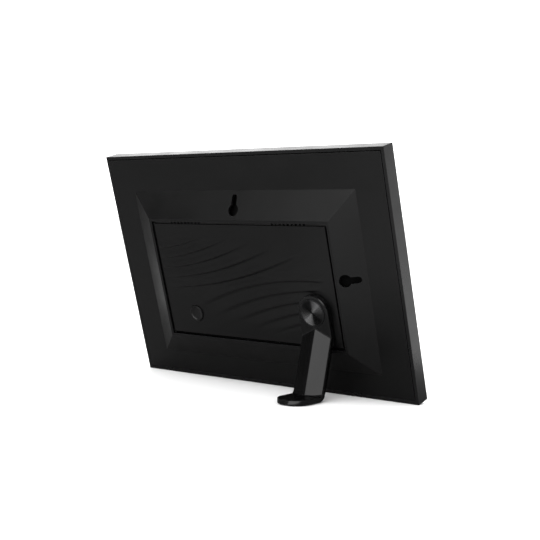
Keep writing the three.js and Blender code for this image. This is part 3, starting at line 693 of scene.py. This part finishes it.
def make_edge_wear():
    group, enter, leave = new_group(
        "Edge wear",
        [("Place", VECTOR, None), ("Width", FLOAT, 0.0006), ("Patchiness", FLOAT, 60.0)],
        [("Mask", FLOAT)],
    )
    link = group.links.new
    rounded = add_node(group, "ShaderNodeBevel", samples=6)
    surface = add_node(group, "ShaderNodeNewGeometry")
    same = add_node(group, "ShaderNodeVectorMath", operation="DOT_PRODUCT")
    link(enter.outputs["Width"], rounded.inputs["Radius"])
    link(rounded.outputs["Normal"], same.inputs[0])
    link(surface.outputs["True Normal"], same.inputs[1])
    edge = add_node(group, "ShaderNodeMapRange")
    edge.inputs["From Min"].default_value = no_edge
    edge.inputs["From Max"].default_value = full_edge
    link(same.outputs["Value"], edge.inputs["Value"])
    patches = add_node(group, "ShaderNodeTexNoise", Detail=3.0)
    link(enter.outputs["Place"], patches.inputs["Vector"])
    link(enter.outputs["Patchiness"], patches.inputs["Scale"])
    worn = add_node(group, "ShaderNodeMath", operation="MULTIPLY")
    link(edge.outputs["Result"], worn.inputs[0])
    link(patches.outputs["Fac"], worn.inputs[1])
    link(worn.outputs["Value"], leave.inputs["Mask"])
    return group


wear_group = make_edge_wear()
print("made", wear_group.name)


# %% Tone drift
def make_drift():
    group, enter, leave = new_group(
        "Tone drift",
        [("Place", VECTOR, None), ("Patches per metre", FLOAT, 18.0),
         ("Low", FLOAT, 0.9), ("High", FLOAT, 1.1)],
        [("Value", FLOAT)],
    )
    link = group.links.new
    clouds = add_node(group, "ShaderNodeTexNoise", Detail=4.0, Roughness=0.55)
    link(enter.outputs["Place"], clouds.inputs["Vector"])
    link(enter.outputs["Patches per metre"], clouds.inputs["Scale"])
    spread = add_node(group, "ShaderNodeMapRange")
    spread.inputs["From Min"].default_value = 0.3
    spread.inputs["From Max"].default_value = 0.7
    link(clouds.outputs["Fac"], spread.inputs["Value"])
    link(enter.outputs["Low"], spread.inputs["To Min"])
    link(enter.outputs["High"], spread.inputs["To Max"])
    link(spread.outputs["Result"], leave.inputs["Value"])
    return group


drift_group = make_drift()
print("made", drift_group.name)


# %% Rolled lines
def make_lines():
    group, enter, leave = new_group(
        "Rolled lines",
        [("Place", VECTOR, None), ("Lines per metre", FLOAT, 2500.0)],
        [("Height", FLOAT)],
    )
    link = group.links.new
    stretch = add_node(group, "ShaderNodeVectorMath", operation="MULTIPLY")
    stretch.inputs[1].default_value = (0.02, 1.0, 1.0)
    lines = add_node(group, "ShaderNodeTexNoise", Detail=1.0)
    link(enter.outputs["Place"], stretch.inputs[0])
    link(stretch.outputs["Vector"], lines.inputs["Vector"])
    link(enter.outputs["Lines per metre"], lines.inputs["Scale"])
    link(lines.outputs["Fac"], leave.inputs["Height"])
    return group


lines_group = make_lines()
print("made", lines_group.name)


# %% [markdown]
# Every finish below starts from the same short recipe: a base colour whose tone drifts, a
# roughness that drifts and a fine bump. Most also get a lighter worn colour along the edges.
# The rippled panel doesn't: its ripples would count as edges. The values make one a satin
# plastic, another a paint or a sheet metal.

# %% The recipe of a finish
TONE_PATCHES = 18.0  # per metre
ROUGHNESS_PATCHES = 35.0  # per metre
BUMP_DEPTH = 0.0002


def drifting(tree, place, patches, low, high):
    """A value that drifts between low and high over the surface."""
    node = add_node(tree, "ShaderNodeGroup")
    node.node_tree = drift_group
    node.inputs["Patches per metre"].default_value = patches
    node.inputs["Low"].default_value = low
    node.inputs["High"].default_value = high
    tree.links.new(place, node.inputs["Place"])
    return node.outputs["Value"]


def make_finish(name, colour, roughness, worn=None, metallic=0.0, shine=0.5, texture=None,
                texture_scale=3000.0, bump=0.02, tone=0.08, rough_drift=0.06, coat=0.0):
    material = bpy.data.materials.new(name)
    material.use_nodes = True
    tree = material.node_tree
    link = tree.links.new
    shader = tree.nodes["Principled BSDF"]
    shader.inputs["Metallic"].default_value = metallic
    shader.inputs["Specular IOR Level"].default_value = shine
    shader.inputs["Coat Weight"].default_value = coat
    shader.inputs["Coat Roughness"].default_value = 0.08
    place = add_node(tree, "ShaderNodeTexCoord").outputs["Object"]

    base = add_node(tree, "ShaderNodeVectorMath", operation="SCALE")
    base.inputs[0].default_value = colour
    link(drifting(tree, place, TONE_PATCHES, 1 - tone, 1 + tone), base.inputs["Scale"])
    paint = base.outputs["Vector"]
    if worn is not None:
        wear = add_node(tree, "ShaderNodeGroup")
        wear.node_tree = wear_group
        link(place, wear.inputs["Place"])
        mix = add_node(tree, "ShaderNodeMix", data_type="RGBA")
        link(wear.outputs["Mask"], mix.inputs["Factor"])
        link(paint, mix.inputs["A"])
        mix.inputs["B"].default_value = (*worn, 1)
        paint = mix.outputs["Result"]
    link(paint, shader.inputs["Base Color"])
    dullness = drifting(tree, place, ROUGHNESS_PATCHES, roughness - rough_drift, roughness + rough_drift)
    link(dullness, shader.inputs["Roughness"])

    if texture is not None:
        detail = add_node(tree, "ShaderNodeGroup")
        detail.node_tree = texture
        detail.inputs[1].default_value = texture_scale
        link(place, detail.inputs["Place"])
        raised = add_node(tree, "ShaderNodeBump", Strength=bump, Distance=BUMP_DEPTH)
        link(detail.outputs["Height"], raised.inputs["Height"])
        link(raised.outputs["Normal"], shader.inputs["Normal"])
    return material


# %% Finishes for each material slot
DARK_WORN = (0.02, 0.02, 0.021)
finishes = {
    "bezel_plastic": make_finish(
        "Satin bezel plastic", (0.0036, 0.0036, 0.0038), 0.3, worn=DARK_WORN, shine=0.45,
        texture=grain_group, texture_scale=2600, bump=0.12),
    "cover_plastic": make_finish(
        "Cover plastic", (0.0017, 0.0017, 0.0018), 0.36, worn=DARK_WORN, shine=0.45,
        texture=grain_group, texture_scale=2600, bump=0.15),
    "insert_plastic": make_finish(
        "Insert plastic", (0.0017, 0.0017, 0.0018), 0.34, shine=0.45,
        texture=grain_group, texture_scale=2600, bump=0.1),
    "button_plastic": make_finish(
        "Button plastic", (0.0022, 0.0022, 0.0023), 0.32, worn=DARK_WORN, shine=0.5,
        texture=grain_group, texture_scale=3200, bump=0.08),
    # This near-black finish is also the painted shade of the strips in the groove floor.
    "dark_plastic": make_finish(
        "Hidden moulded plastic", (0.001, 0.001, 0.001), 0.7, shine=0.1, texture=grain_group,
        texture_scale=1800, bump=0.2),
    "light_guide": make_finish(
        "Frosted light guide", (0.78, 0.8, 0.82), 0.3, texture=grain_group, texture_scale=900,
        bump=0.1, tone=0.03),
    "steel": make_finish(
        "Rolled steel", (0.5, 0.51, 0.52), 0.35, worn=(0.62, 0.62, 0.62), metallic=1.0,
        texture=lines_group, texture_scale=2500, bump=0.25),
    "screw_steel": make_finish(
        "Plated screw steel", (0.35, 0.35, 0.36), 0.3, worn=(0.5, 0.5, 0.5), metallic=1.0,
        texture=grain_group, texture_scale=4000, bump=0.1),
    "circuit_board": make_finish(
        "Solder mask", (0.012, 0.085, 0.038), 0.35, texture=lines_group, texture_scale=600,
        bump=0.2, tone=0.12),
    "copper": make_finish(
        "Etched copper film", (0.6, 0.3, 0.14), 0.35, metallic=1.0, texture=lines_group,
        texture_scale=1500, bump=0.15, tone=0.12),
    "flat_cable": make_finish(
        "Amber film", (0.45, 0.22, 0.05), 0.3, texture=lines_group, texture_scale=900, bump=0.2),
    "stand_paint": make_finish(
        "Stand paint", (0.0011, 0.0011, 0.0012), 0.2, worn=DARK_WORN, shine=0.5,
        texture=grain_group, texture_scale=3600, bump=0.06),
    "spun_metal": make_finish(
        "Turned dark metal", (0.052, 0.052, 0.054), 0.3, worn=(0.12, 0.12, 0.12), metallic=1.0,
        texture=grain_group, texture_scale=4200, bump=0.04),
    "rubber": make_finish(
        "Foot rubber", (0.014, 0.014, 0.014), 0.7, shine=0.3, texture=grain_group,
        texture_scale=1500, bump=0.4),
}
print("made", len(finishes), "finishes")


# %% [markdown]
# The front glass has a black printed border on its inner side, and the display behind it is
# off. An unlit display is never quite as black as the print round it: it is a little bluer,
# and the print ends in a crisp line. The finish finds that line from the place on the glass.

# %% Glass and display
DISPLAY_TONE = (0.010, 0.012, 0.017, 1)


def make_front_glass(half_width, half_height, border):
    """The glass, with a lighter window where the display is and a black border round it."""
    material = make_finish("Front glass", (0.004, 0.004, 0.005), 0.05, shine=0.5, tone=0.1,
                           rough_drift=0.02, coat=0.3)
    tree = material.node_tree
    link = tree.links.new
    shader = tree.nodes["Principled BSDF"]
    place = add_node(tree, "ShaderNodeTexCoord").outputs["Object"]
    from_middle = add_node(tree, "ShaderNodeMapping", vector_type="TEXTURE")
    from_middle.inputs["Location"].default_value = origin
    from_middle.inputs["Rotation"].default_value = casing.to_euler()
    link(place, from_middle.inputs["Vector"])
    apart = add_node(tree, "ShaderNodeSeparateXYZ")
    link(from_middle.outputs["Vector"], apart.inputs["Vector"])
    shares = []
    for axis, half in (("X", half_width - border), ("Z", half_height - border)):
        size_here = add_node(tree, "ShaderNodeMath", operation="ABSOLUTE")
        link(apart.outputs[axis], size_here.inputs[0])
        inside = add_node(tree, "ShaderNodeMath", operation="LESS_THAN")
        link(size_here.outputs["Value"], inside.inputs[0])
        inside.inputs[1].default_value = half
        shares.append(inside.outputs["Value"])
    window = add_node(tree, "ShaderNodeMath", operation="MULTIPLY")
    link(shares[0], window.inputs[0])
    link(shares[1], window.inputs[1])
    mix = add_node(tree, "ShaderNodeMix", data_type="RGBA")
    link(window.outputs["Value"], mix.inputs["Factor"])
    link(shader.inputs["Base Color"].links[0].from_socket, mix.inputs["A"])
    mix.inputs["B"].default_value = DISPLAY_TONE
    link(mix.outputs["Result"], shader.inputs["Base Color"])
    return material


bezel_high = casing_box("front_bezel")[1]
display_border = 22.5 * MM
finishes["cover_glass"] = make_front_glass(bezel_high.x, bezel_high.z, display_border)
finishes["display"] = make_finish(
    "Dark display", (0.010, 0.011, 0.014), 0.15, texture=lines_group, texture_scale=5000, bump=0.1)
print("the display's border is", round(display_border / MM, 1), "mm wide")

# %% [markdown]
# The engineering model's own parts take the finish of the slot that their record names. Each
# new piece takes the finish of the part that it stands for, or that it was moulded with.

# %% Put the finishes on
slot_of = {part["node"]: part["material_slot"] for part in frame["record"]["subparts"]}
for node, thing in frame["nodes"].items():
    thing.data.materials.clear()
    thing.data.materials.append(finishes[slot_of[node]])
made = {
    bezel: "bezel_plastic", cover: "cover_plastic", glass: "cover_glass", leg: "stand_paint",
    panel: "insert_plastic", cap: "button_plastic", disc: "spun_metal", pad: "rubber",
    vent_rail: "cover_plastic", side_rail: "cover_plastic",
    # the groove strips are near-black to paint the groove's shade
    **{shade_strip: "dark_plastic" for shade_strip in groove_shade_strips},
}
for piece, slot in made.items():
    piece.data.materials.clear()
    piece.data.materials.append(finishes[slot])
print("finished", len(frame["nodes"]), "nodes and", len(made), "new pieces")

# %% [markdown]
# ## The table, the light and the camera
#
# The frame stands on a plain white table in a white room. Black plastic shows mostly what it
# mirrors, so product photographers hang grey cloth round a white table: the table still looks
# white, and the plastic stays black. Light Path nodes do the same here. The table is white to
# the camera and dark grey to all other rays, and the room is dark to mirrored rays only.

# %% Table
TABLE_WHITE = (0.86, 0.86, 0.86, 1)
TABLE_GREY = (0.12, 0.12, 0.12, 1)
bpy.ops.object.select_all(action="DESELECT")
bpy.ops.mesh.primitive_plane_add(size=60, location=(0, 0, 0))
table = bpy.context.object
table.name = "table"
table_paint = bpy.data.materials.new("White table")
table_paint.use_nodes = True
table_shader = table_paint.node_tree.nodes["Principled BSDF"]
table_shader.inputs["Roughness"].default_value = 0.6
table_shader.inputs["Specular IOR Level"].default_value = 0.2
seen = add_node(table_paint.node_tree, "ShaderNodeLightPath")
table_tone = add_node(table_paint.node_tree, "ShaderNodeMix", data_type="RGBA")
table_tone.inputs["A"].default_value = TABLE_GREY
table_tone.inputs["B"].default_value = TABLE_WHITE
table_paint.node_tree.links.new(seen.outputs["Is Camera Ray"], table_tone.inputs["Factor"])
table_paint.node_tree.links.new(table_tone.outputs["Result"], table_shader.inputs["Base Color"])
table.data.materials.append(table_paint)
print(table.name, "is", table.dimensions.x, "m wide")

# %% [markdown]
# Four soft lights stand round the frame. One is high in front of the display and makes the
# top edge shine. A low one behind the frame draws the facets of the stand, and a high one
# there lights the slopes and the turned disc. The last, level with the frame, lights its side.

# %% Room and lights
scene = bpy.context.scene
room = bpy.data.worlds.new("White room")
scene.world = room
room.use_nodes = True
background = room.node_tree.nodes["Background"]
background.inputs["Color"].default_value = (1, 1, 1, 1)
room_light = 2.2
grey_cloth = 0.06
mirrored = add_node(room.node_tree, "ShaderNodeLightPath")
room_tone = add_node(room.node_tree, "ShaderNodeMix", data_type="FLOAT")
room_tone.inputs["A"].default_value = room_light
room_tone.inputs["B"].default_value = grey_cloth
room.node_tree.links.new(mirrored.outputs["Is Glossy Ray"], room_tone.inputs["Factor"])
room.node_tree.links.new(room_tone.outputs["Result"], background.inputs["Strength"])
scene.view_settings.view_transform = "Standard"

frame_middle = (cad_box[0] + cad_box[1]) / 2


def soft_light(name, place, aim, width, height, power):
    """An area light at a place, shining along aim; the camera doesn't see the light itself."""
    light = bpy.data.lights.new(name, "AREA")
    light.shape = "RECTANGLE"
    light.size = width
    light.size_y = height
    light.energy = power
    thing = bpy.data.objects.new(name, light)
    scene.collection.objects.link(thing)
    thing.location = place
    thing.rotation_euler = Vector(aim).to_track_quat("-Z", "Y").to_euler()
    thing.visible_camera = False
    print(name, "at", [round(c, 2) for c in thing.location])
    return thing


def light_from(name, way, distance, width, height, power):
    """A soft light that lies in a direction from the frame and shines at it."""
    way = Vector(way).normalized()
    return soft_light(name, frame_middle + way * distance, -way, width, height, power)


light_from("High front light", (0.63, -0.63, 0.5), 1.5, 1.2, 0.8, 6.5)
light_from("Low rear light", (0.08, 0.95, 0.25), 1.5, 1.6, 0.85, 7.5)
light_from("High rear light", (-0.46, 0.78, 0.42), 1.5, 1.0, 0.7, 4.2)
light_from("Front side light", (-0.63, -0.78, 0.02), 1.6, 1.4, 0.6, 2.6)

# %% [markdown]
# The frame leans back, so its back looks down and mirrors the table. Flat lights lie on the
# table and face up, and each of them puts a soft grey on one part of the back. The smallest
# lies beside the foot. It would leave patches on the cover, so it is linked to the stand only.

# %% Lights lying on the table
UPWARDS = (0, 0, 1)
on_table = 4 * MM
soft_light("Near table light", (-0.45, 0.75, on_table), UPWARDS, 0.8, 0.7, 2.1)
soft_light("Back table light", (-0.14, 0.28, on_table), UPWARDS, 0.4, 0.38, 0.10)
soft_light("Side table light", (-0.55, -0.62, on_table), UPWARDS, 0.9, 0.9, 3.6)
soft_light("Far table light", (0.40, -0.10, on_table), UPWARDS, 0.26, 0.24, 0.10)
foot_light = soft_light("Foot light", (-0.095, 0.064, on_table / 4), UPWARDS, 0.06, 0.05, 0.02)
lit_by_it = bpy.data.collections.new("Lit by the foot light")
lit_by_it.objects.link(leg)
foot_light.light_linking.receiver_collection = lit_by_it

# %% [markdown]
# The camera stands behind the frame and a little to one side, almost level with it. It is
# turned by half a degree about its own axis, as a hand-set tripod often is.

# %% Camera
camera_place = Vector((-0.4990, 0.5928, 0.1304))
camera_way = Vector((0.62812, -0.77628, -0.05343))
camera_roll = 0.53
camera_data = bpy.data.cameras.new("Camera")
camera_data.lens = 69.78
camera_data.sensor_width = 36
camera_data.clip_start = 0.01
camera = bpy.data.objects.new("Camera", camera_data)
scene.collection.objects.link(camera)
turned = camera_way.to_track_quat("-Z", "Y").to_matrix() @ Matrix.Rotation(radians(camera_roll), 3, "Z")
camera.matrix_world = Matrix.Translation(camera_place) @ turned.to_4x4()
scene.camera = camera
print("camera looks from", [round(c, 3) for c in camera_place])
